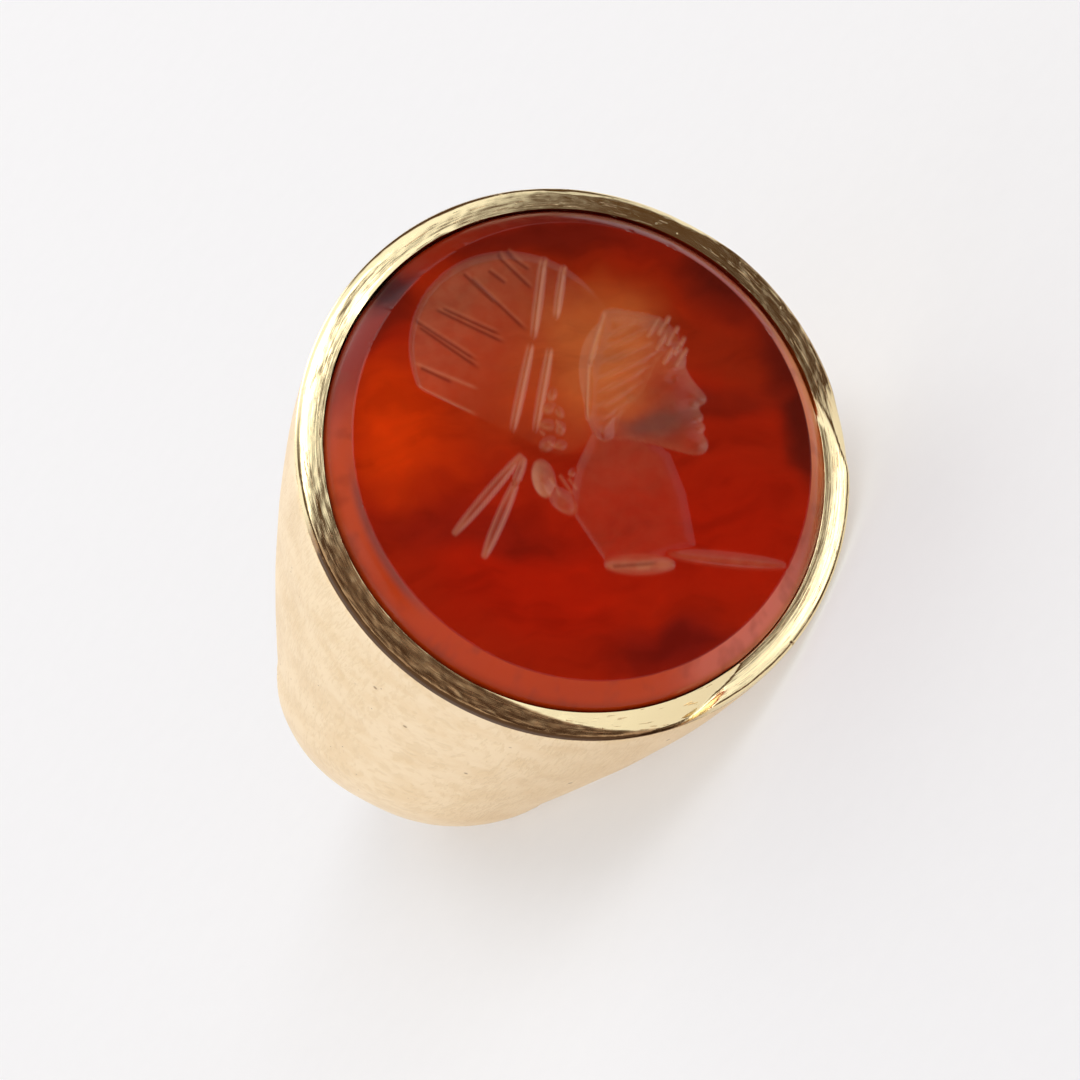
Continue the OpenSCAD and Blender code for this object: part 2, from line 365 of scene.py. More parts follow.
HOLE_SIDES, EDGE_ROUND, EDGE_STEPS, FLARE_END = 256, 0.3, 7, 72
CUTTER_OUT, PAST_EDGE, PAST_ALL = 3.0, 1.6, 6.0
around = np.linspace(0, 2 * np.pi, HOLE_SIDES, endpoint=False)
mouth = np.array([outer_half(BORE_R * math.sin(a), BORE_DEPTH - BORE_R * math.cos(a)) for a in around])
flare = [(EDGE_ROUND * (1 - math.cos(q)), EDGE_ROUND * (1 - math.sin(q)))
         for q in np.radians(np.linspace(0, FLARE_END, EDGE_STEPS))]
half = [(BORE_R + out, mouth - back) for out, back in flare]
half += [(BORE_R + flare[-1][0] + CUTTER_OUT, mouth + past) for past in (PAST_EDGE, PAST_ALL)]
cutter = sewn("hole_cutter", [
    np.stack([r * np.sin(around), y, -BORE_DEPTH + r * np.cos(around)], axis=-1)
    for r, y in [(r, -y) for r, y in reversed(half)] + half
])
cut = gold.modifiers.new("finger hole", "BOOLEAN")
cut.operation, cut.solver, cut.object = "DIFFERENCE", "EXACT", cutter
graph = bpy.context.evaluated_depsgraph_get()
bored = bpy.data.meshes.new_from_object(gold.evaluated_get(graph))
gold.modifiers.clear()
gold.data = bored
bpy.data.objects.remove(cutter)
print("gold with its hole", len(gold.data.polygons), "faces")

# %% Smooth shading that keeps real edges
def shade(piece, sharp_angle):
    """Smooth shading, except at edges that turn by more than this angle in degrees."""
    mesh = piece.data
    mesh.polygons.foreach_set("use_smooth", [True] * len(mesh.polygons))
    mesh.set_sharp_from_angle(angle=math.radians(sharp_angle))


shade(gold, 40)
print("edges of the gold kept sharp", sum(edge.use_edge_sharp for edge in gold.data.edges))

# %% [markdown]
# ## The engraving as a map of depths
#
# An engraver cuts such a picture with small turning wheels, and each touch leaves a hollow with
# the wheel's own shape. Hundreds of boolean cuts would be slow and would tear a thin face, so the
# stone's face is a fine grid, and each touch of the wheel lowers the grid under it. Depths are
# collected with a maximum, because a second cut only shows where it goes deeper than the first.

# %% A round grid for the stone's face
GRID = 280


def to_picture(x, y):
    """Ring axes to the picture's own: across to the right and up."""
    c, s = math.cos(PICTURE_TURN), math.sin(PICTURE_TURN)
    return x * c + y * s, y * c - x * s


PICTURE_TURN = math.radians(129.6)
u, v = np.meshgrid(*[np.linspace(-1, 1, GRID + 1)] * 2, indexing="ij")
# a square grid, bent smoothly into a disc
face_x, face_y = u * np.sqrt(1 - v ** 2 / 2) * FACE_LEN, v * np.sqrt(1 - u ** 2 / 2) * FACE_WID
pic_x, pic_y = to_picture(face_x, face_y)
print("face grid spacing", round(2 * FACE_LEN / GRID, 3), "mm")

# %% Four maps of the face: depth of the cut, milky bloom with some painted light, dark lines, painted highlights
HOLLOW = 0.30
depth_map, bloom_and_light_map, dark_map, highlight_map = (np.zeros_like(pic_x) for _ in range(4))


def carve(depth, bloom=0.0):
    """Keeps the deeper cut at each place, and the larger bloom: milky tone, and painted light on some walls.
    """
    np.maximum(depth_map, depth, out=depth_map)
    np.maximum(bloom_and_light_map, bloom, out=bloom_and_light_map)


def dome(out):
    """A round hollow's depth: 1 in the middle, 0 from the edge outwards."""
    return np.clip(1 - out ** 2, 0, 1)


def walled(inside, reach):
    """A flat hollow whose wall rounds off within about this reach of its outline."""
    return 1 - np.exp(-np.clip(inside, 0, None) / reach)


def along_line(x1, y1, x2, y2):
    """Share along a stroke and distance from its middle line, for every place on the face."""
    run = np.array([x2 - x1, y2 - y1])
    length = float(np.hypot(*run))
    share = ((pic_x - x1) * run[0] + (pic_y - y1) * run[1]) / length ** 2
    aside = ((pic_x - x1) * run[1] - (pic_y - y1) * run[0]) / length
    return share, aside


def groove(x1, y1, x2, y2, width, depth, bloom=0.0):
    """A shallow groove with soft walls that tapers to both ends."""
    share, aside = along_line(x1, y1, x2, y2)
    taper = np.clip(4 * share * (1 - share), 0, 1) ** 0.5
    across = np.abs(aside) / (0.5 * width * (0.3 + 0.7 * taper))
    shape = taper * dome(across) ** 2
    depth_map[:] += depth * shape
    np.maximum(bloom_and_light_map, bloom * shape, out=bloom_and_light_map)


def fine_line(tone_map, x1, y1, x2, y2, half, strength):
    """A line that fades at both ends, kept in one of the tone maps."""
    share, aside = along_line(x1, y1, x2, y2)
    fade = step(share, 0, 0.08) * step(share, 1, 0.82)
    np.maximum(tone_map, strength * fade * np.exp(-(aside / half) ** 2), out=tone_map)


def fine_edge(x1, y1, x2, y2, width, strength, thin=0.09):
    """A painted highlight along the outline of a long leaf-shaped cut."""
    share, aside = along_line(x1, y1, x2, y2)
    out = np.hypot(2 * share - 1, aside / (0.5 * width))
    ends = step(share, -0.01, 0.03) * step(share, 1.01, 0.97)
    edge = np.exp(-((out - 0.85) * 0.5 * width / thin) ** 2)
    np.maximum(highlight_map, strength * ends * edge, out=highlight_map)


def oval(x, y, half_len, half_wid, tilt):
    """How far out of an oval each place lies: 1 on its edge."""
    c, s = math.cos(math.radians(tilt)), math.sin(math.radians(tilt))
    dx, dy = pic_x - x, pic_y - y
    return np.hypot((dx * c + dy * s) / half_len, (dy * c - dx * s) / half_wid)


def bead(x, y, half_len, half_wid, tilt, bloom):
    """A small hollow whose far wall, at lower left, is the paler one: painted light."""
    out = oval(x, y, half_len, half_wid, tilt)
    # painted light: the far wall is paler, as if lit from the upper right
    lit_far_wall = np.clip(0.6 - 0.5 * (pic_x - x + pic_y - y) / half_wid, 0.2, 1)
    carve(0.26 * half_wid * dome(out) ** 1.5, bloom * step(out, 1.1, 0.3) * lit_far_wall)


print("places in each map", depth_map.size)


# %% [markdown]
# ## The crest, the bands and the ribbons
#
# Behind the head stands a fan of long rays with a crisp round edge. It is one flat, slightly
# tilted hollow, deep at its edge and running out towards the head, with the rays cut into it.
# Two paired strokes band it, small drilled curls follow the ear, and two ribbon ends hang below.

# %% Cut the crest
CREST_AT, CREST_R, CREST_TILT, CREST_WAY = (-1.7, 4.4), 4.62, math.radians(3), math.radians(127)
CREST_FOOT = (-6.29, 3.82, -2.75, 1.1)  # its straight lower edge
crest_dx, crest_dy = pic_x - CREST_AT[0], pic_y - CREST_AT[1]
crest_away = np.hypot(crest_dx, crest_dy)
crest_towards = crest_dx * math.cos(CREST_WAY) + crest_dy * math.sin(CREST_WAY)
_, below_fan = along_line(*CREST_FOOT)
above = step(below_fan, 0.08, -0.14)
crest_inside = step(crest_away, CREST_R + 0.03, CREST_R - 0.16) * above
crest_plane = HOLLOW - (CREST_R - crest_towards) * math.tan(CREST_TILT)
crest_depth = 0.5 * (crest_plane + np.sqrt(crest_plane ** 2 + 0.05 ** 2))
crest_depth *= step(crest_away, CREST_R + 0.03, CREST_R - 0.3) * step(below_fan, 0.1, -0.2)
# a paler band just inside the crest's left arc: a painted highlight on its edge
lit_left_arc = step(crest_away, CREST_R - 0.2, CREST_R - 0.04) * step(crest_dx, -2.6, -4.2)
carve(crest_depth, crest_inside * (0.05 + 0.38 * step(crest_towards, -1.6, 4.8) + 0.1 * lit_left_arc))
print("crest", round(float(crest_depth.max()), 3), "mm deep")

# %% Rays, bands and ribbons
CREST_RAYS = [
    (-0.98, 9.0, -0.1, 8.0), (-1.36, 9.0, -0.2, 7.1), (-1.87, 8.35, -1.25, 7.6),
    (-2.98, 8.45, -1.9, 6.75), (-2.75, 8.25, -0.95, 5.35), (-4.6, 7.1, -1.95, 5.0),
    (-4.3, 7.1, -2.05, 5.4), (-5.6, 6.8, -3.35, 4.45), (-5.5, 6.5, -3.35, 4.1),
    (-5.9, 4.7, -4.65, 3.75), (-6.1, 4.97, -3.6, 3.25), (-6.28, 3.97, -4.0, 2.15),
]
# the last two rays, at the lower edge, get a painted highlight instead of a dark line
HIGHLIGHTED_RAYS = 2  # the last two, at the lower edge
BANDS = [
    (0.62, 8.5, -0.85, 5.0, 0.30), (1.35, 8.0, 0.35, 5.7, 0.24),
    (-0.95, 4.9, -2.85, 1.2, 0.30), (-0.2, 4.6, -1.9, 1.0, 0.30),
]
RIBBONS = [
    (-2.65, 0.25, -6.5, -2.65, 0.36), (-2.6, 0.1, -3.4, -1.1, 0.26), (-3.15, -0.75, -5.5, -3.85, 0.40),
]
LINE_HALF = 0.078


def beside(x1, y1, x2, y2, away):
    """The same stroke, moved sideways."""
    length = math.hypot(x2 - x1, y2 - y1)
    dx, dy = away * (y2 - y1) / length, -away * (x2 - x1) / length
    return x1 + dx, y1 + dy, x2 + dx, y2 + dy


# the pale lines along the rays, bands and ribbons are painted highlights
for k, ends in enumerate(CREST_RAYS):
    groove(*ends, 0.34, 0.02)
    if k < len(CREST_RAYS) - HIGHLIGHTED_RAYS:
        fine_line(dark_map, *ends, LINE_HALF, 0.85)
        fine_line(highlight_map, *beside(*ends, -0.13), LINE_HALF, 0.22)
    else:
        fine_line(highlight_map, *ends, LINE_HALF, 0.5)
for *ends, width in BANDS:
    groove(*ends, width + 0.2, 0.09, 0.25)
    fine_line(highlight_map, *beside(*ends, -0.3 * width), LINE_HALF, 0.8)
    fine_line(highlight_map, *beside(*ends, 0.3 * width), LINE_HALF, 0.45)
for *ends, width in RIBBONS:
    groove(*ends, width + 0.2, 0.12, 0.25)
    fine_edge(*ends, width, 0.55, 0.055)
print("rays", len(CREST_RAYS), "bands", len(BANDS), "strokes of the ribbons", len(RIBBONS))

# %% Curls by the ear
CURLS = [
    # across, up, half length, half width, tilt
    (-0.7, 2.55, 0.44, 0.26, 60), (-1.0, 2.0, 0.46, 0.30, 20), (-0.6, 1.75, 0.36, 0.24, 100),
    (-1.25, 1.3, 0.52, 0.32, -15), (-0.75, 1.05, 0.40, 0.28, 70), (-1.45, 0.5, 0.52, 0.34, 30),
    (-0.95, 0.35, 0.36, 0.28, 0), (-0.75, -0.9, 0.3, 0.2, 40),
]
CURL_BLOOM = 0.54
KNOT, LOBE = (-2.05, -0.95, 0.85, 0.5, 84), (-1.45, -2.05, 0.75, 0.5, 130)
for curl in CURLS:
    bead(*curl, CURL_BLOOM)
knot, lobe = oval(*KNOT), oval(*LOBE)
# milky, and lighter on the knot's left side: painted light
knot_bloom_and_light = 0.5 + 0.35 * step(pic_x, -1.7, -2.3)
lobe_bloom = 0.32 + 0.25 * step(lobe, 0.4, 0.9) * step(pic_y, -1.9, -2.4)
carve(0.2 * dome(knot), step(knot, 1.1, 0.8) * knot_bloom_and_light)
carve(0.15 * dome(lobe), step(lobe, 1.15, 0.6) * lobe_bloom)
# the knot's outer side is the palest: a painted highlight
np.maximum(highlight_map, 0.55 * step(knot, 1.02, 0.8) * step(pic_x, -2.0, -2.45), out=highlight_map)
print("curls", len(CURLS))

# %% Small strokes at the knot and the curls
SMALL_STROKES = [
    (-2.13, -0.99, -1.92, -1.82), (-1.75, -0.89, -1.49, -1.85), (-1.34, -0.87, -1.0, -1.85),
    (-1.01, -1.1, -0.73, -1.68), (-1.41, 0.64, -1.17, 0.25), (-0.84, 1.43, -0.68, 1.05),
    (-1.63, 1.12, -1.49, 0.83),
]
# each small stroke gets a painted highlight along it
for stroke in SMALL_STROKES:
    groove(*stroke, 0.22, 0.03)
    fine_line(highlight_map, *stroke, LINE_HALF, 0.4)
print("deepest cut so far", round(float(depth_map.max()), 3), "mm")

# %% Cut the neck and the edge of the bust
NECK = [
    (-1.35, -2.35), (-0.55, -0.7), (0.5, 0.6), (2.6, 0.4), (3.6, -0.8), (3.8, -2.6), (3.6, -4.9),
    (1.5, -5.15), (-0.46, -4.85),
]
NECK_DEPTH = 0.16


def inside_distance(outline):
    """Distance to a closed outline at every place on the face, negative outside it."""
    nearest = np.full(pic_x.shape, 1e9)
    crossings = np.zeros(pic_x.shape, int)
    for (ax, ay), (bx, by) in zip(outline, np.roll(outline, -1, axis=0)):
        ex, ey = bx - ax, by - ay
        t = np.clip(((pic_x - ax) * ex + (pic_y - ay) * ey) / (ex * ex + ey * ey + 1e-12), 0, 1)
        nearest = np.minimum(nearest, np.hypot(pic_x - ax - t * ex, pic_y - ay - t * ey))
        straddles = (ay > pic_y) != (by > pic_y)
        cross_x = ax + (pic_y - ay) * ex / (ey if abs(ey) > 1e-12 else 1e-12)
        crossings += straddles & (pic_x < cross_x)
    return np.where(crossings % 2 == 1, nearest, -nearest)


neck_in = inside_distance(np.array(NECK))
neck_edge = step(pic_x, 1.0, -0.6)
neck_veil = 0.12 + 0.08 * step(pic_y, -2.6, -0.9) + 0.05 * neck_edge * step(neck_in, 0.35, 0.05)
neck_soft = 0.12 + 0.5 * step(pic_x, 1.2, 3.2)
carve(NECK_DEPTH * walled(neck_in, 0.4), step(neck_in, -0.04, neck_soft) * neck_veil)
# the two ends of each cut, width, bloom, and the strength of its painted edge highlight
LENSES = [(-0.5, -5.0, 2.5, -5.5, 0.95, 0.95, 0.22), (2.3, -5.0, 7.2, -6.4, 0.75, 0.4, 0.08)]
FIRST_MIDDLE = (-0.2, -5.1, 1.9, -5.3)  # the dark middle of the first cut
for *ends, width, bloom, edge in LENSES:
    groove(*ends, width, 0.14, bloom)
    fine_edge(*ends, width, edge)
fine_line(dark_map, *FIRST_MIDDLE, 0.09, 0.7)
print("cuts that end the bust", len(LENSES))

# %% [markdown]
# ## A plain head in profile
#
# The head is drawn from the usual proportions alone. Its height gives everything: the face from
# hairline to chin is three equal thirds, with the brow and the base of the nose between them, the
# eye lies at half the head's height, and the mouth a third of the way from nose to chin. Inside
# the outline the hollow deepens softly, the way an engraver models a cheek.

# %% The head's outline from shares of its height
HEAD_AT, HEAD_HIGH, HEAD_DEPTH = (3.0, 2.35), 6.9, 0.28
PROFILE = [
    # forward of the middle, above the middle, in head heights
    (-0.04, 0.45), (0.12, 0.43), (0.24, 0.37), (0.315, 0.29), (0.348, 0.20), (0.352, 0.11),
    (0.338, 0.05), (0.358, -0.03), (0.395, -0.11), (0.412, -0.155), (0.395, -0.188),
    (0.352, -0.205), (0.35, -0.235), (0.36, -0.265), (0.346, -0.30), (0.352, -0.335),
    (0.33, -0.372), (0.34, -0.43), (0.315, -0.485), (0.245, -0.50), (0.13, -0.455),
    (0.0, -0.39), (-0.12, -0.34), (-0.26, -0.30), (-0.35, -0.12), (-0.345, 0.1),
    (-0.28, 0.28), (-0.17, 0.40),
]
head_line = np.array(HEAD_AT) + HEAD_HIGH * smooth_line(PROFILE, 7, closed=True)
head_in = inside_distance(head_line)
in_head = step(head_in, -0.02, 0.08)
carve(HEAD_DEPTH * walled(head_in, 0.7), in_head * (0.2 + 0.14 * step(head_in, 0.5, 0.0)))
print("head", head_line.min(axis=0).round(2), "to", head_line.max(axis=0).round(2))

# %% The features: soft ovals, cut a little deeper or left standing
FEATURES = [
    # forward, up, half length, half width, tilt, depth, bloom
    (0.285, 0.085, 0.085, 0.026, 14, 0.05, 0.08),
    (0.25, 0.005, 0.05, 0.022, -6, -0.06, -0.06),
    (0.262, 0.0, 0.026, 0.017, 0, 0.06, 0.12),
    (0.36, -0.12, 0.03, 0.055, 60, 0.04, 0.06),
    (0.325, -0.18, 0.024, 0.018, 0, 0.05, 0.1),
    (0.2, -0.16, 0.1, 0.09, 0, 0.05, 0.05),
    (0.315, -0.302, 0.038, 0.009, -8, -0.05, -0.12),
    (0.328, -0.268, 0.024, 0.015, 0, 0.03, 0.06),
    (0.322, -0.338, 0.024, 0.016, 0, 0.035, 0.06),
    (0.3, -0.43, 0.045, 0.045, 0, 0.04, 0.06),
    (0.05, -0.33, 0.14, 0.045, 24, 0.03, 0.05),
]
for forward, up, half_len, half_wid, tilt, depth, bloom in FEATURES:
    x, y = HEAD_AT[0] + HEAD_HIGH * forward, HEAD_AT[1] + HEAD_HIGH * up
    out = oval(x, y, HEAD_HIGH * half_len, HEAD_HIGH * half_wid, tilt)
    soft = np.exp(-1.6 * out ** 2) * in_head
    depth_map += depth * soft
    bloom_and_light_map += bloom * soft
print("soft ovals", len(FEATURES))

# %% [markdown]
# ## Hair
#
# The hair is a mass with a firm edge, combed from the brow to the back of the neck, and short
# locks stand along the brow. The mass is a hollow of its own, a little deeper than the face, and
# each lock is a soft groove: a drawn texture alone would stay flat when the light moves.

# %% Cut the hair
HAIR = [
    (2.6, 5.75), (3.7, 5.5), (4.75, 5.05), (5.3, 4.3), (5.35, 3.5), (4.5, 3.35), (3.9, 2.7), (3.2, 1.9),
    (2.2, 1.2), (1.4, 0.2), (0.75, 0.25), (0.5, 1.3), (0.75, 2.6), (1.3, 3.7), (1.95, 4.8),
]
HAIR_DEPTH = 0.33
hair_in = inside_distance(smooth_line(HAIR, 4, closed=True))
hair_bloom = step(hair_in, -0.03, 0.1) * (0.2 + 0.16 * step(hair_in, 0.35, 0.05))
carve(HAIR_DEPTH * walled(hair_in, 0.3), hair_bloom)
BROW_LOCKS = [(5.0, 4.75), (5.25, 4.25), (5.4, 3.75), (5.35, 3.25), (4.55, 4.75), (4.75, 4.1), (4.85, 3.45)]
COMBED = [
    (3.9, 5.1, 2.3, 4.6), (4.3, 4.7, 2.0, 4.1), (4.4, 4.2, 1.7, 3.5), (4.4, 3.7, 1.5, 2.9),
    (4.0, 3.2, 1.3, 2.3), (3.5, 2.6, 1.1, 1.7), (2.9, 2.0, 0.95, 1.1), (2.2, 1.5, 0.9, 0.6),
]
BACK_EDGE = [(2.6, 5.75, 1.25, 3.5, 0.096), (1.35, 3.75, 0.5, 1.1, 0.072)]
# the pale lines along the locks and the hair's back edge are painted highlights
for x, y in BROW_LOCKS:
    lock = x - 0.42, y - 0.40, x + 0.30, y + 0.32
    groove(*lock, 0.3, 0.05, 0.3)
    fine_line(highlight_map, *lock, 0.072, 0.6)
for lock in COMBED:
    groove(*lock, 0.36, 0.04)
    fine_line(highlight_map, *lock, LINE_HALF, 0.2)
for *ends, half in BACK_EDGE:
    groove(*ends, 0.42, 0.09, 0.4)
    fine_line(highlight_map, *ends, half, 0.8)
print("deepest cut", round(float(depth_map.max()), 3), "mm, milkiest", round(float(bloom_and_light_map.max()), 2))

# %% [markdown]
# ## The stone
#
# The carnelian is a flat disc with a slanted edge. The grid above becomes its face, and rows of
# points carry the grid's own border down the slant and into the seat. Sharing that border keeps
# face and edge in one skin, and a few chips along it are nudged inwards as a real edge has them.

# %% Walk round the border of the grid
border = ([(i, 0) for i in range(GRID)] + [(GRID, j) for j in range(GRID)]
          + [(i, GRID) for i in range(GRID, 0, -1)] + [(0, j) for j in range(GRID, 0, -1)])
border_angle = np.array([math.atan2(face_y[i, j] / FACE_WID, face_x[i, j] / FACE_LEN) for i, j in border])
CHIPS, CHIP_WIDTH, CHIP_DEPTH = 16, (0.008, 0.03), (0.01, 0.045)
chance = np.random.default_rng(7)
nicks = np.zeros(len(border))
for _ in range(CHIPS):
    place, width, depth = (chance.uniform(*ends) for ends in ((-math.pi, math.pi), CHIP_WIDTH, CHIP_DEPTH))
    away = np.angle(np.exp(1j * (border_angle - place)))
    nicks = np.maximum(nicks, depth * dome(away / width))
print("chips along the edge", CHIPS, "the deepest", round(float(nicks.max()), 3), "mm")

# %% Build the stone in one skin
STONE_ROWS = [
    # inset in widths of the slant, height above the rim, share of a chip's depth
    (0.97, STONE_RISE - 0.035, 0.9), (0.9, STONE_RISE - 0.085, 0.4), (0.7, 0.76 * STONE_RISE, 0),
    (0.46, 0.52 * STONE_RISE, 0), (0.24, 0.27 * STONE_RISE, 0), (0.07, 0.06 * STONE_RISE, 0),
    (0, -0.1, 0), (0, 1.1 - STONE_DEPTH, 0), (0.12, 0.5 - STONE_DEPTH, 0), (0.55, -STONE_DEPTH, 0),
]
side, count = GRID + 1, len(border)
stone_points = [np.stack([face_x, face_y, STONE_RISE - depth_map], axis=-1).reshape(-1, 3)]
stone_faces = [(i * side + j, (i + 1) * side + j, (i + 1) * side + j + 1, i * side + j + 1)
               for i in range(GRID) for j in range(GRID)]
last, start = [i * side + j for i, j in border], side * side
for inset, height, chipped in STONE_ROWS:
    nick = nicks * chipped
    x = (OVAL * STONE_HALF - inset * STONE_BEVEL - nick) * np.cos(border_angle)
    y = (STONE_HALF - inset * STONE_BEVEL - nick) * np.sin(border_angle)
    stone_points.append(np.stack([x, y, height - nick], axis=-1))
    here = list(range(start, start + count))
    stone_faces += [(last[k - 1], here[k - 1], here[k], last[k]) for k in range(count)]
    last, start = here, start + count
stone_points = np.concatenate(stone_points)
stone = skin("carnelian_stone", stone_points, stone_faces + [last])
shade(stone, 30)
print("stone", len(stone.data.polygons), "faces")

# %% Keep the maps on the mesh, so that the finish can follow them
def store(mesh, name, values):
    """One number for each point; points after the last value get zero."""
    layer = mesh.attributes.new(name, "FLOAT", "POINT")
    padded = np.zeros(len(mesh.vertices))
    padded[:len(values)] = values
    layer.data.foreach_set("value", padded)


# the slant runs from 0 on the face to 1 at the stone's foot
rows = len(STONE_ROWS)
stone_slant = np.concatenate([np.zeros(side * side), np.repeat(np.arange(1, rows + 1) / rows, count)])
all_across, all_up = to_picture(stone_points[:, 0], stone_points[:, 1])
for name, values in (("picture_x", all_across), ("picture_y", all_up), ("slant", stone_slant),
                     ("bloom", np.clip(bloom_and_light_map, 0, 1).ravel()), ("dark_line", dark_map.ravel()),
                     ("highlight_line", highlight_map.ravel())):
    store(stone.data, name, values)
    print("map", name, "from", round(float(values.min()), 2), "to", round(float(values.max()), 2))

# %% [markdown]
# ## A small kit for node materials
#
# A finish is a chain of nodes. A few helpers let each chain be read like a sum: one adds a node
# with its inputs filled in, and the others add the kinds that are used most.

# %% Helpers for node trees
def fill(tree, node, inputs):
    """Gives each input its value, or a link where the value comes from another node."""
    for key, value in inputs.items():
        if isinstance(value, bpy.types.NodeSocket):
            tree.links.new(value, node.inputs[key])
        else:
            node.inputs[key].default_value = value
    return node


def add(tree, kind, inputs, **settings):
    """A new node of this kind."""
    node = tree.nodes.new(kind)
    for key, value in settings.items():
        setattr(node, key, value)
    return fill(tree, node, inputs)


def finish_named(name):
    """A new material, its tree and its main shader."""
    material = bpy.data.materials.new(name)
    material.use_nodes = True
    tree = material.node_tree
    return material, tree, tree.nodes["Principled BSDF"]


def maths(tree, operation, a, b=0.0, clamp=False):
    """The sum, product or the like of two values."""
    return add(tree, "ShaderNodeMath", {0: a, 1: b}, operation=operation, use_clamp=clamp).outputs[0]


def times(tree, a, b):
    return maths(tree, "MULTIPLY", a, b)


def mesh_map(tree, name):
    """A map that was kept on the mesh."""
    return add(tree, "ShaderNodeAttribute", {}, attribute_name=name)


def noise(tree, place, scale, detail=4.0, roughness=0.55, distortion=0.0):
    """A cloudy pattern with values around a half."""
    return add(tree, "ShaderNodeTexNoise", {
        "Vector": place, "Scale": scale, "Detail": detail, "Roughness": roughness, "Distortion": distortion,
    }).outputs["Fac"]


def span(tree, value, low, high, to_low=0.0, to_high=1.0):
    """Turns the span from low to high into another one, with soft ends."""
    return add(tree, "ShaderNodeMapRange", {
        "Value": value, "From Min": low, "From Max": high, "To Min": to_low, "To Max": to_high,
    }, interpolation_type="SMOOTHSTEP").outputs["Result"]


def blend_colour(tree, share, first, second, kind="MIX"):
    """The first colour, with the second mixed or multiplied in by its share."""
    inputs = {0: share, 6: first, 7: second}
    return add(tree, "ShaderNodeMix", inputs, data_type="RGBA", blend_type=kind).outputs[2]


def layered(tree, colour, layers, kind="MIX"):
    """A colour with further colours laid over it, each by its share."""
    for share, tone in layers:
        colour = blend_colour(tree, share, colour, tone, kind)
    return colour


# %% [markdown]
# ## Worn gold
#
# The shoulders have a satin look from countless short strokes that swirl in all directions, and
# the rim is rubbed bright, with streaks that run along it. Over part of the rim, and most along
# its outer edge, tarnish and painted shade darken it. One material does all of it, because
# separate ones would meet at hard lines. Three maps on the mesh say how polished a place is, how
# much tarnish and painted shade it has, and where it lies in a space that is stretched along the
# rim, so that a plain noise comes out as streaks.

# %% Maps for the gold
STREAK_LONG, STREAK_THIN = 2.6, 0.09
# the part of the rim with tarnish and painted shade, and the height below which neither lies
TARNISHED_AND_SHADED_PART, TARNISH_AND_SHADE_FOOT = (-36, 40, 18), -0.48
POLISH_STARTS = (-0.5, -0.45)
# every point of the gold back in the ring's own axes, in millimetres
flat = np.empty(len(gold.data.vertices) * 3)
gold.data.vertices.foreach_get("co", flat)
p = flat.reshape(-1, 3) / MM - [0, front_shift, floor_lift]
x, y = -p[:, 0], -p[:, 1] * math.sin(lean) - p[:, 2] * math.cos(lean)
z = p[:, 2] * math.sin(lean) - p[:, 1] * math.cos(lean)
store(gold.data, "polish", step(z, *POLISH_STARTS))
angle = np.arctan2(y / HALF_WID, x / HALF_LEN)
inset = HALF_WID * (1 - np.hypot(x / HALF_LEN, y / HALF_WID))
facet_end = LIP_INSET - facet_width(angle)
# tarnish with painted shade: over part of the rim but not its bright facet, half as strong over the far flat
# part, and strongest along the outer edge
tarnished_and_shaded = sector(angle, *TARNISHED_AND_SHADED_PART) * step(inset, facet_end + 0.02, facet_end - 0.08)
tarnished_and_shaded += 0.5 * sector(angle, *FAR_FLAT_PART)
store(gold.data, "tarnish_and_shade", tarnished_and_shaded * (0.6 + 0.4 * step(inset, 0.14, 0.09)) * (z > TARNISH_AND_SHADE_FOOT))
run, over = HALF_WID / STREAK_LONG, (np.hypot(x / OVAL, y) + z) / STREAK_THIN
streak_place = np.stack([run * np.cos(angle), run * np.sin(angle), over], axis=-1)
layer = gold.data.attributes.new("streak_place", "FLOAT_VECTOR", "POINT")
layer.data.foreach_set("vector", streak_place.ravel())
print("polished points", int((z > POLISH_STARTS[0]).sum()), "of", len(z))

# %% The gold finish
SATIN_PALE, SATIN_DEEP, STROKED = (1.0, 0.81, 0.55, 1), (0.95, 0.73, 0.45, 1), (0.80, 0.58, 0.31, 1)
# the copper tone on the rim's nicks is a painted glint
POLISHED, COPPER_GLINT, PIT = (1.0, 0.845, 0.50, 1), (0.90, 0.50, 0.22, 1), (0.35, 0.20, 0.09, 1)
# tarnish and grime on the rim, partly painted shade; the darkest tone lies along the rim's outer edge
TARNISH_AND_SHADE, GRIME_AND_SHADE = (0.34, 0.17, 0.07, 1), (0.07, 0.03, 0.012, 1)
STROKE_THIN, STROKE_LONG = 0.055 * MM, 0.8 * MM
PIT_SIZES = [(520, 0.13 * MM, 0.6), (1300, 0.05 * MM, 0.4)]  # cells in a metre, radius, share kept
STROKE_WAYS = [(0.3, 0.2, 0.4), (1.1, 0.7, 2.0), (2.2, 1.4, 0.9), (0.8, 2.3, 1.6), (2.9, 0.5, 2.7)]


def strokes(tree, place):
    """Short, slightly bent strokes: each way of stroking has its own patches."""
    total = None
    for k, way in enumerate(STROKE_WAYS):
        turned = add(tree, "ShaderNodeMapping", {
            "Vector": place, "Rotation": way,
            "Scale": (1 / STROKE_THIN, 1 / STROKE_LONG, 1 / STROKE_LONG),
        }).outputs[0]
        line = span(tree, noise(tree, turned, 1.0, 2, 0.5, 0.35), 0.54, 0.66)
        shifted = add(tree, "ShaderNodeMapping", {"Vector": place, "Location": (k, 2 * k, 0)}).outputs[0]
        line = times(tree, line, span(tree, noise(tree, shifted, 480, 1), 0.44, 0.54))
        total = line if total is None else maths(tree, "MAXIMUM", total, line)
    return total


def pits(tree, place, scale, radius, kept):
    """Round specks in a share of the cells of a pattern."""
    cells = add(tree, "ShaderNodeTexVoronoi", {"Vector": place, "Scale": scale}, feature="F1")
    chosen = span(tree, add(tree, "ShaderNodeSeparateColor", {0: cells.outputs["Color"]}).outputs[0],
                  1 - kept - 0.01, 1 - kept + 0.01)
    spot = span(tree, cells.outputs["Distance"], 0.5 * radius * scale, radius * scale, 1.0, 0.0)
    return times(tree, spot, chosen)


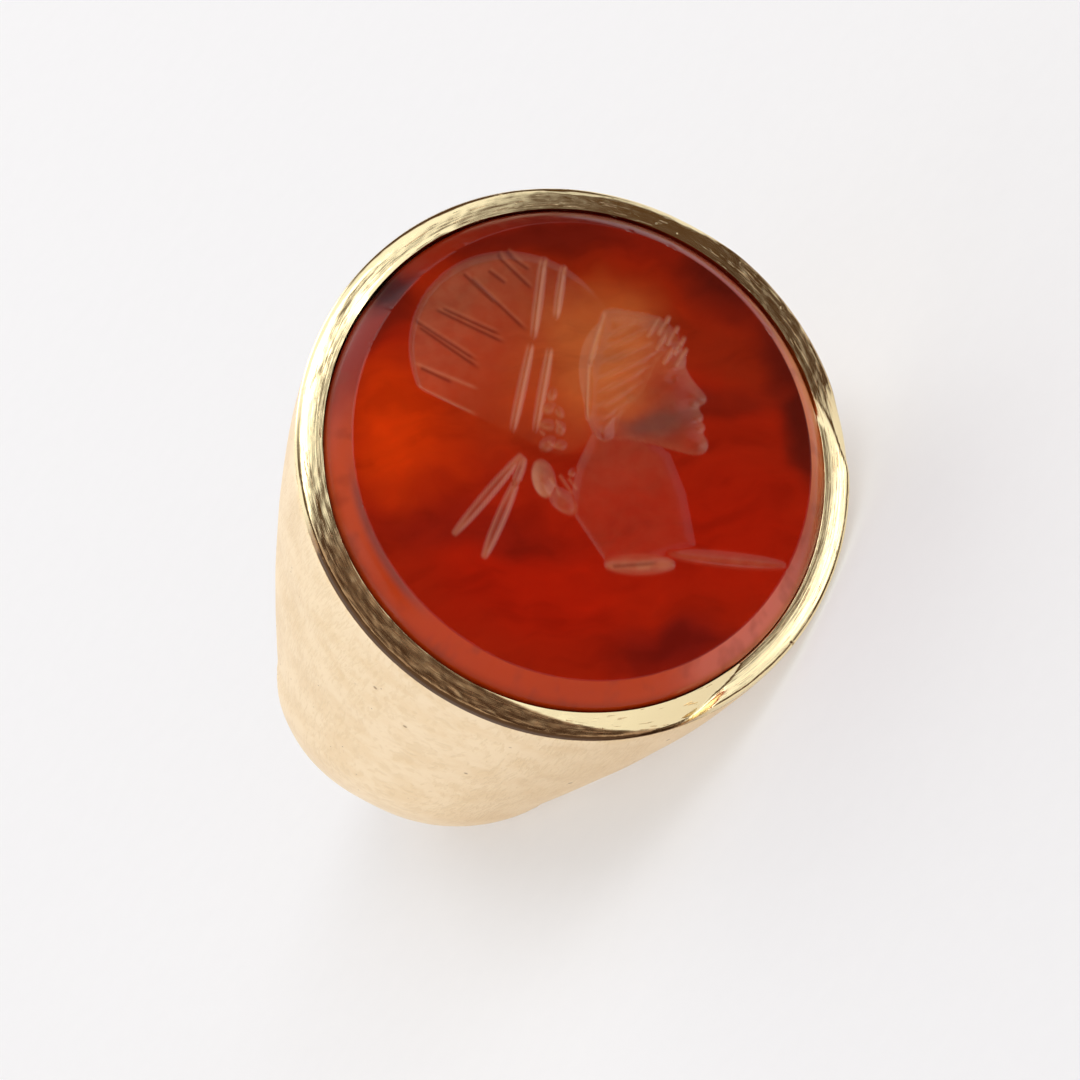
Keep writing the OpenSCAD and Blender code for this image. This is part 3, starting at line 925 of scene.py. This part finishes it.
def gold_finish():
    material, tree, shader = finish_named("worn_gold")
    place = add(tree, "ShaderNodeTexCoord", {}).outputs["Object"]
    polish, tarnish_and_shade = (mesh_map(tree, name).outputs["Fac"] for name in ("polish", "tarnish_and_shade"))
    along_rim = mesh_map(tree, "streak_place").outputs["Vector"]
    cloud = noise(tree, place, 560, 5, 0.65)
    fine = noise(tree, place, 2600, 5, 0.6)
    stroked = strokes(tree, place)
    pit = maths(tree, "MAXIMUM", *(pits(tree, place, *size) for size in PIT_SIZES))
    streak = noise(tree, along_rim, 1.0, 5, 0.6)
    nick = span(tree, noise(tree, along_rim, 1.9, 2, 0.5, 0.3), 0.64, 0.72)
    tarnish_and_shade = times(tree, tarnish_and_shade, span(tree, noise(tree, place, 3200, 4, 0.6), 0.36, 0.6, 0.8, 1.0))
    tint = layered(tree, SATIN_DEEP, [
        (span(tree, cloud, 0.35, 0.6), SATIN_PALE),
        (times(tree, stroked, 0.3), STROKED),
        (polish, POLISHED),
        # nicks in the polish: their dents are bump, their copper tone a painted glint
        (times(tree, times(tree, nick, polish), 0.5), COPPER_GLINT),
        (times(tree, pit, 0.7), PIT),
        # tarnish and painted shade on the rim, darkest along its outer edge
        (span(tree, tarnish_and_shade, 0.0, 0.6, 0.0, 0.9), TARNISH_AND_SHADE),
        (span(tree, tarnish_and_shade, 0.62, 0.82, 0.0, 0.9), GRIME_AND_SHADE),
    ])
    satin = span(tree, cloud, 0.3, 0.7, 0.34, 0.44)
    rubbed = span(tree, streak, 0.35, 0.65, 0.09, 0.17)
    gloss = add(tree, "ShaderNodeMix", {0: polish, 2: satin, 3: rubbed}).outputs[0]
    shoulder_relief = maths(tree, "ADD", times(tree, stroked, -0.6), times(tree, fine, 0.5))
    rim_relief = maths(tree, "ADD", times(tree, streak, 0.6), times(tree, nick, -0.6))
    relief = add(tree, "ShaderNodeMix", {0: polish, 2: shoulder_relief, 3: rim_relief}).outputs[0]
    relief = maths(tree, "SUBTRACT", relief, pit)
    bump = add(tree, "ShaderNodeBump", {"Height": relief, "Strength": 0.8, "Distance": 0.02 * MM})
    fill(tree, shader, {
        "Base Color": tint, "Metallic": 1.0, "Normal": bump.outputs["Normal"],
        "Roughness": maths(tree, "ADD", gloss, times(tree, tarnish_and_shade, 0.22)),
    })
    return material


gold.data.materials.clear()
gold.data.materials.append(gold_finish())
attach(gold, "root")
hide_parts("hoop")
print("gold finish has", len(gold.data.materials[0].node_tree.nodes), "nodes")

# %% [markdown]
# ## Clouded carnelian
#
# Carnelian is a translucent quartz, coloured by iron, and its colour drifts through it in soft
# clouds and bands. A real volume would need long renders and is lost when the part is exported.
# So the clouds are painted as a few large soft zones, each with a place, a size and a colour,
# whose edges a noise bends out of shape. A little light that scatters below the surface then
# softens everything. Where the stone is cut, it is less polished and looks milky. Painted light
# is added too: highlights along the cuts and on some of their walls, sheen and dark reflection
# on the slanted edge, and shade at its foot beside the gold.

# %% The stone's colours and where they lie
BASE, VIVID, ORANGE = (0.36, 0.014, 0.003), (0.45, 0.011, 0.002), (0.66, 0.038, 0.002)
AMBER, GOLDEN, RUSSET = (0.28, 0.019, 0.003), (0.55, 0.120, 0.026), (0.28, 0.018, 0.004)
MAROON, DUSK, VIOLET = (0.11, 0.008, 0.004), (0.19, 0.008, 0.005), (0.15, 0.034, 0.028)
CLOUDS = [
    # across, up, half length, half width, tilt, colour, strength
    (-4.0, -5.4, 5.0, 3.0, -30, VIVID, 0.9),
    (3.4, -4.6, 8.0, 3.4, -8, VIVID, 0.7),
    (0.8, 6.9, 8.0, 2.4, -10, AMBER, 0.9),
    (1.4, 3.9, 3.9, 3.0, 25, GOLDEN, 0.95),
    (-2.6, 3.6, 3.6, 3.6, 0, (0.44, 0.040, 0.006), 0.6),
    (7.0, 3.2, 3.4, 2.0, -30, RUSSET, 0.85),
    (-7.6, 2.3, 3.0, 3.2, 20, ORANGE, 1.0),
    (-5.6, -2.6, 4.4, 1.2, -16, (0.25, 0.010, 0.004), 0.75),
    (8.2, 6.2, 3.4, 1.6, -50, MAROON, 0.95),
    (9.9, 0.6, 1.5, 5.0, 4, MAROON, 1.0),
    (0.6, 9.7, 6.5, 1.3, -6, MAROON, 0.75),
    (-7.2, 7.0, 3.6, 1.1, 52, MAROON, 0.7),
    (1.8, -8.9, 3.6, 1.2, -4, DUSK, 0.85),
    (6.4, 0.7, 3.9, 0.75, 16, (0.22, 0.012, 0.004), 0.8),
    (3.4, 0.7, 2.2, 0.9, 8, VIOLET, 0.85),
]
# the slant's zones are mostly painted light: the paler, pinker ones painted sheen, the wide dark one at the
# top a painted dark reflection, the small darkest one an inclusion
BEVEL_PAINTED_LIGHT_AND_TONES = [
    # across, up, reach, colour, strength
    (-7.4, -7.4, 11.0, (0.50, 0.046, 0.006), 1.0),
    (1.0, -10.4, 6.0, (0.50, 0.048, 0.006), 0.9),
    (5.4, -8.6, 5.5, (0.62, 0.140, 0.090), 1.0),
    (-10.4, 0.5, 5.0, (0.54, 0.078, 0.030), 0.9),
    (10.6, -0.8, 6.2, (0.60, 0.145, 0.045), 0.95),
    (3.0, 10.4, 7.5, (0.15, 0.010, 0.006), 0.95),
    (-7.4, 7.4, 4.5, (0.26, 0.026, 0.018), 0.85),
    (-6.4, 8.4, 1.7, (0.05, 0.012, 0.014), 0.95),
]
DEEPER = 0.9  # all the face's colours, a little darker
VIOLET_AT, VIOLET_EDGE, SMUDGE = (-10.0, -2.4, 3.8), (0.24, 0.060, 0.050, 1), (0.24, 0.035, 0.018, 1)
# the last of these darkens the foot of the slant beside the gold: painted shade
DARK_STREAK, LIGHT_STREAK, SEAM_SHADE = (0.55, 0.45, 0.45, 1), (1.35, 1.35, 1.1, 1), (0.75, 0.72, 0.45, 1)


# %% Helpers that lay soft zones of colour
def zone(tree, place, x, y, half_len, half_wid=None, tilt=0):
    """How far out of an oval or round zone a place lies: 1 on its edge."""
    local = add(tree, "ShaderNodeMapping", {
        "Vector": place, "Location": (x, y, 0), "Rotation": (0, 0, math.radians(tilt)),
        "Scale": (half_len, half_wid or half_len, 1000),
    }, vector_type="TEXTURE").outputs[0]
    return add(tree, "ShaderNodeVectorMath", {0: local}, operation="LENGTH").outputs["Value"]


def bent_place(tree, place, scale, reach):
    """The same place pushed about by a noise, so that round zones get drifting edges."""
    inputs = {"Vector": place, "Scale": scale, "Detail": 2.0, "Roughness": 0.5}
    bend = add(tree, "ShaderNodeTexNoise", inputs).outputs["Color"]
    offset = add(tree, "ShaderNodeVectorMath", {0: bend, 1: (0.5, 0.5, 0.5)}, operation="SUBTRACT")
    offset = add(tree, "ShaderNodeVectorMath", {0: offset.outputs[0], "Scale": reach}, operation="SCALE")
    return add(tree, "ShaderNodeVectorMath", {0: place, 1: offset.outputs[0]}, operation="ADD").outputs[0]


def zoned(tree, place, colour, zones, full, gone, depth=1.0):
    """Soft zones laid over a colour, one after the other."""
    for *where, tone, strength in zones:
        share = span(tree, zone(tree, place, *where), full, gone, strength, 0.0)
        colour = blend_colour(tree, share, colour, (*(depth * part for part in tone), 1))
    return colour


def bevel_colour(tree, place, slant):
    """The outward-facing slant: zones of painted sheen and dark reflection, an inclusion, and painted shade
    at its foot.
    """
    bent = bent_place(tree, place, 0.5, 2.0)
    colour = zoned(tree, bent, (*RUSSET, 1), BEVEL_PAINTED_LIGHT_AND_TONES, 0.2, 1.1)
    violet = span(tree, zone(tree, bent, *VIOLET_AT), 0.4, 1.2, 0.8, 0.0)
    colour = layered(tree, colour, [
        (times(tree, span(tree, slant, 0.36, 0.2), violet), VIOLET_EDGE),
        (span(tree, noise(tree, place, 0.9, 2, 0.5), 0.5, 0.7, 0.0, 0.35), SMUDGE),
    ])
    # painted shade at the foot of the slant, where the stone meets the gold
    return blend_colour(tree, span(tree, slant, 0.44, 0.62), colour, SEAM_SHADE, "MULTIPLY")


# %% The stone's finish
# the last of these is the tone of the painted highlights along the cuts
FROST, LINE_DARK, LINE_HIGHLIGHT = (0.88, 0.56, 0.28, 1), (0.10, 0.006, 0.004, 1), (0.80, 0.38, 0.20, 1)


def stone_finish():
    material, tree, shader = finish_named("clouded_carnelian")
    across, up, slant, bloom, dark_line, highlight_line = (
        mesh_map(tree, name).outputs["Fac"]
        for name in ("picture_x", "picture_y", "slant", "bloom", "dark_line", "highlight_line")
    )
    place = add(tree, "ShaderNodeCombineXYZ", {0: across, 1: up}).outputs[0]
    bent = bent_place(tree, place, 0.30, 3.0)
    base = (*(DEEPER * part for part in BASE), 1)
    colour = zoned(tree, bent, base, CLOUDS, 0.25, 1.35, DEEPER)
    stretch = {"Vector": bent, "Rotation": (0, 0, 0.45), "Scale": (0.20, 0.8, 1)}
    streak = noise(tree, add(tree, "ShaderNodeMapping", stretch).outputs[0], 1.0, 4, 0.5)
    colour = layered(tree, colour, [
        (span(tree, streak, 0.45, 0.72, 0.0, 0.45), DARK_STREAK),
        (span(tree, streak, 0.48, 0.26, 0.0, 0.4), LIGHT_STREAK),
    ], "MULTIPLY")
    on_slant = span(tree, slant, 0.02, 0.12)
    patchy = span(tree, noise(tree, place, 1.6, 2, 0.5), 0.3, 0.7, 0.8, 1.15)
    colour = layered(tree, colour, [
        (on_slant, bevel_colour(tree, place, slant)),
        # milky cuts, with painted light on the far walls of the curls, the knot's side and the crest's left
        # edge
        (times(tree, maths(tree, "MULTIPLY", bloom, patchy, True), 0.22), FROST),
        # painted highlights along the cuts
        (times(tree, highlight_line, 0.36), LINE_HIGHLIGHT),
        (times(tree, dark_line, 0.7), LINE_DARK),
        (times(tree, pits(tree, place, 0.35, 0.06, 0.25), 0.5), FROST),
    ])
    dull = maths(tree, "MAXIMUM", maths(tree, "MAXIMUM", bloom, highlight_line), times(tree, on_slant, 0.2))
    bump = add(tree, "ShaderNodeBump", {
        "Height": noise(tree, place, 14, 4, 0.6), "Strength": 0.03, "Distance": 0.03 * MM,
    })
    fill(tree, shader, {
        "Base Color": colour, "Roughness": span(tree, dull, 0.0, 0.6, 0.12, 0.26),
        "IOR": 1.54, "Specular IOR Level": 0.18, "Subsurface Weight": 0.3,
        "Subsurface Radius": (1.0, 0.22, 0.08), "Subsurface Scale": 0.6 * MM,
        "Normal": bump.outputs["Normal"],
    })
    return material


stone.data.materials.append(stone_finish())
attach(stone, "root")
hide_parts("stone")
print("colour zones", len(CLOUDS), "on the face and", len(BEVEL_PAINTED_LIGHT_AND_TONES), "on the slant")

# %% [markdown]
# ## Floor and light
#
# A small shiny thing shows its room. The floor is pale and large and glows a little, so that the
# shadows on it stay pale too. Light comes from wide soft panels, and the walls have a few dark
# patches. A rim that mirrors the floor or a panel shines, and one that mirrors a patch goes dark:
# that contrast is what reads as metal.

# %% The floor
FLOOR_HALF, FLOOR_GLOW = 0.6, 0.38
PAPER = (0.50, 0.50, 0.51, 1), (0.52, 0.52, 0.53, 1)
bm = bmesh.new()
bmesh.ops.create_grid(bm, x_segments=24, y_segments=24, size=FLOOR_HALF)
floor = placed("floor", bpy.data.meshes.new("floor"))
bm.to_mesh(floor.data)
bm.free()
material, tree, shader = finish_named("pale_paper")
grain = noise(tree, add(tree, "ShaderNodeTexCoord", {}).outputs["Object"], 900, 3)
fill(tree, shader, {
    "Base Color": blend_colour(tree, grain, *PAPER), "Roughness": 0.9,
    "Emission Color": (1.0, 0.99, 0.99, 1), "Emission Strength": FLOOR_GLOW,
})
floor.data.materials.append(material)
print("floor", 2 * FLOOR_HALF, "m wide")

# %% The light
def toward(azimuth, elevation):
    """A direction from the ring. Azimuth 0 is in front of the bezel, 90 towards +X."""
    a, e = math.radians(azimuth), math.radians(elevation)
    return Vector((math.sin(a) * math.cos(e), -math.cos(a) * math.cos(e), math.sin(e)))


RING_MIDDLE, PANEL_AWAY = Vector((0, 0, 0.011)), 0.32
PANELS = [
    # name, azimuth, elevation, size, energy, colour
    ("key_panel", 36, 60, 0.23, 0.20, (1.0, 0.97, 0.92)),
    ("right_fill", 158, 36, 0.20, 0.17, (1.0, 0.98, 0.95)),
    ("left_fill", -112, 36, 0.20, 0.09, (1.0, 0.98, 0.95)),
]
for name, azimuth, elevation, size, energy, tone in PANELS:
    panel = placed(name, bpy.data.lights.new(name, "AREA"))
    panel.data.shape, panel.data.size, panel.data.energy, panel.data.color = "DISK", size, energy, tone
    panel.location = RING_MIDDLE + toward(azimuth, elevation) * PANEL_AWAY
    panel.rotation_mode = "QUATERNION"
    panel.rotation_quaternion = toward(azimuth, elevation).to_track_quat("Z", "Y")
print("soft panels", len(PANELS))

# %% The room's dark side
world = bpy.data.worlds.new("studio")
bpy.context.scene.world = world
world.use_nodes = True
room = world.node_tree
way = add(room, "ShaderNodeTexCoord", {}).outputs["Generated"]
up = add(room, "ShaderNodeSeparateXYZ", {0: way}).outputs[2]
WALL, PATCH = (0.98, 0.985, 1.0), (0.088, 0.046, 0.025, 1)
DARK_PATCHES = [
    # azimuth, elevation, and how far round that direction the patch is full, and gone
    (26, 11, 14, 28), (57, 7, 12, 26), (116, 16, 22, 36), (-95, 60, 22, 38),
]
dark = None
for azimuth, elevation, full, gone in DARK_PATCHES:
    aim = {0: way, 1: toward(azimuth, elevation)}
    facing = add(room, "ShaderNodeVectorMath", aim, operation="DOT_PRODUCT").outputs["Value"]
    patch = span(room, facing, math.cos(math.radians(gone)), math.cos(math.radians(full)))
    dark = patch if dark is None else maths(room, "MAXIMUM", dark, patch)
ceiling = span(room, up, 0.0, 0.9, 1.02, 1.12)
bright = add(room, "ShaderNodeVectorMath", {0: WALL, "Scale": ceiling}, operation="SCALE").outputs[0]
fill(room, room.nodes["Background"], {"Color": blend_colour(room, dark, bright, PATCH)})
bpy.context.scene.view_settings.view_transform = "Standard"
print("dark patches", len(DARK_PATCHES))

# %% [markdown]
# ## The camera
#
# A long lens looks down on the bezel, about 26 degrees off its normal, so the rim is a slightly
# flattened oval and one shoulder shows below it. The camera is turned about its own axis, which
# puts the shoulder at lower left. Its aim is worked out from the place of the rim's centre in
# the picture, so no lens shift is needed.

# %% Place the camera
PICTURE_SIDE = 1080
PX_PER_MM, CAMERA_FAR = 24.3, 300.0
RIM_CENTRE_PX = (577.0, 457.4)
VIEW_WAY = Vector((-0.4215, -0.7874, 0.4499)).normalized()
PICTURE_RIGHT = Vector((0.3905, -0.6054, -0.6936)).normalized()
picture_up = VIEW_WAY.cross(PICTURE_RIGHT).normalized()
focal_px = PX_PER_MM * CAMERA_FAR
right_px, up_px = PICTURE_SIDE / 2 - RIM_CENTRE_PX[0], RIM_CENTRE_PX[1] - PICTURE_SIDE / 2
cam_back = (VIEW_WAY - (PICTURE_RIGHT * right_px + picture_up * up_px) / focal_px).normalized()
cam_right = (PICTURE_RIGHT - cam_back * PICTURE_RIGHT.dot(cam_back)).normalized()
cam_up = cam_back.cross(cam_right)
camera_data = bpy.data.cameras.new("camera")
camera_data.sensor_width = 36.0
camera_data.lens = focal_px * camera_data.sensor_width / PICTURE_SIDE
camera_data.clip_start, camera_data.clip_end = 0.01, 20
camera = placed("camera", camera_data)
eye = Vector(laid([0, 0, 0])) + VIEW_WAY * CAMERA_FAR * MM
camera.matrix_world = Matrix.Translation(eye) @ Matrix((cam_right, cam_up, cam_back)).transposed().to_4x4()
bpy.context.scene.camera = camera
print("lens", round(camera_data.lens, 1), "mm, eye", eye[:], "up", cam_up[:])
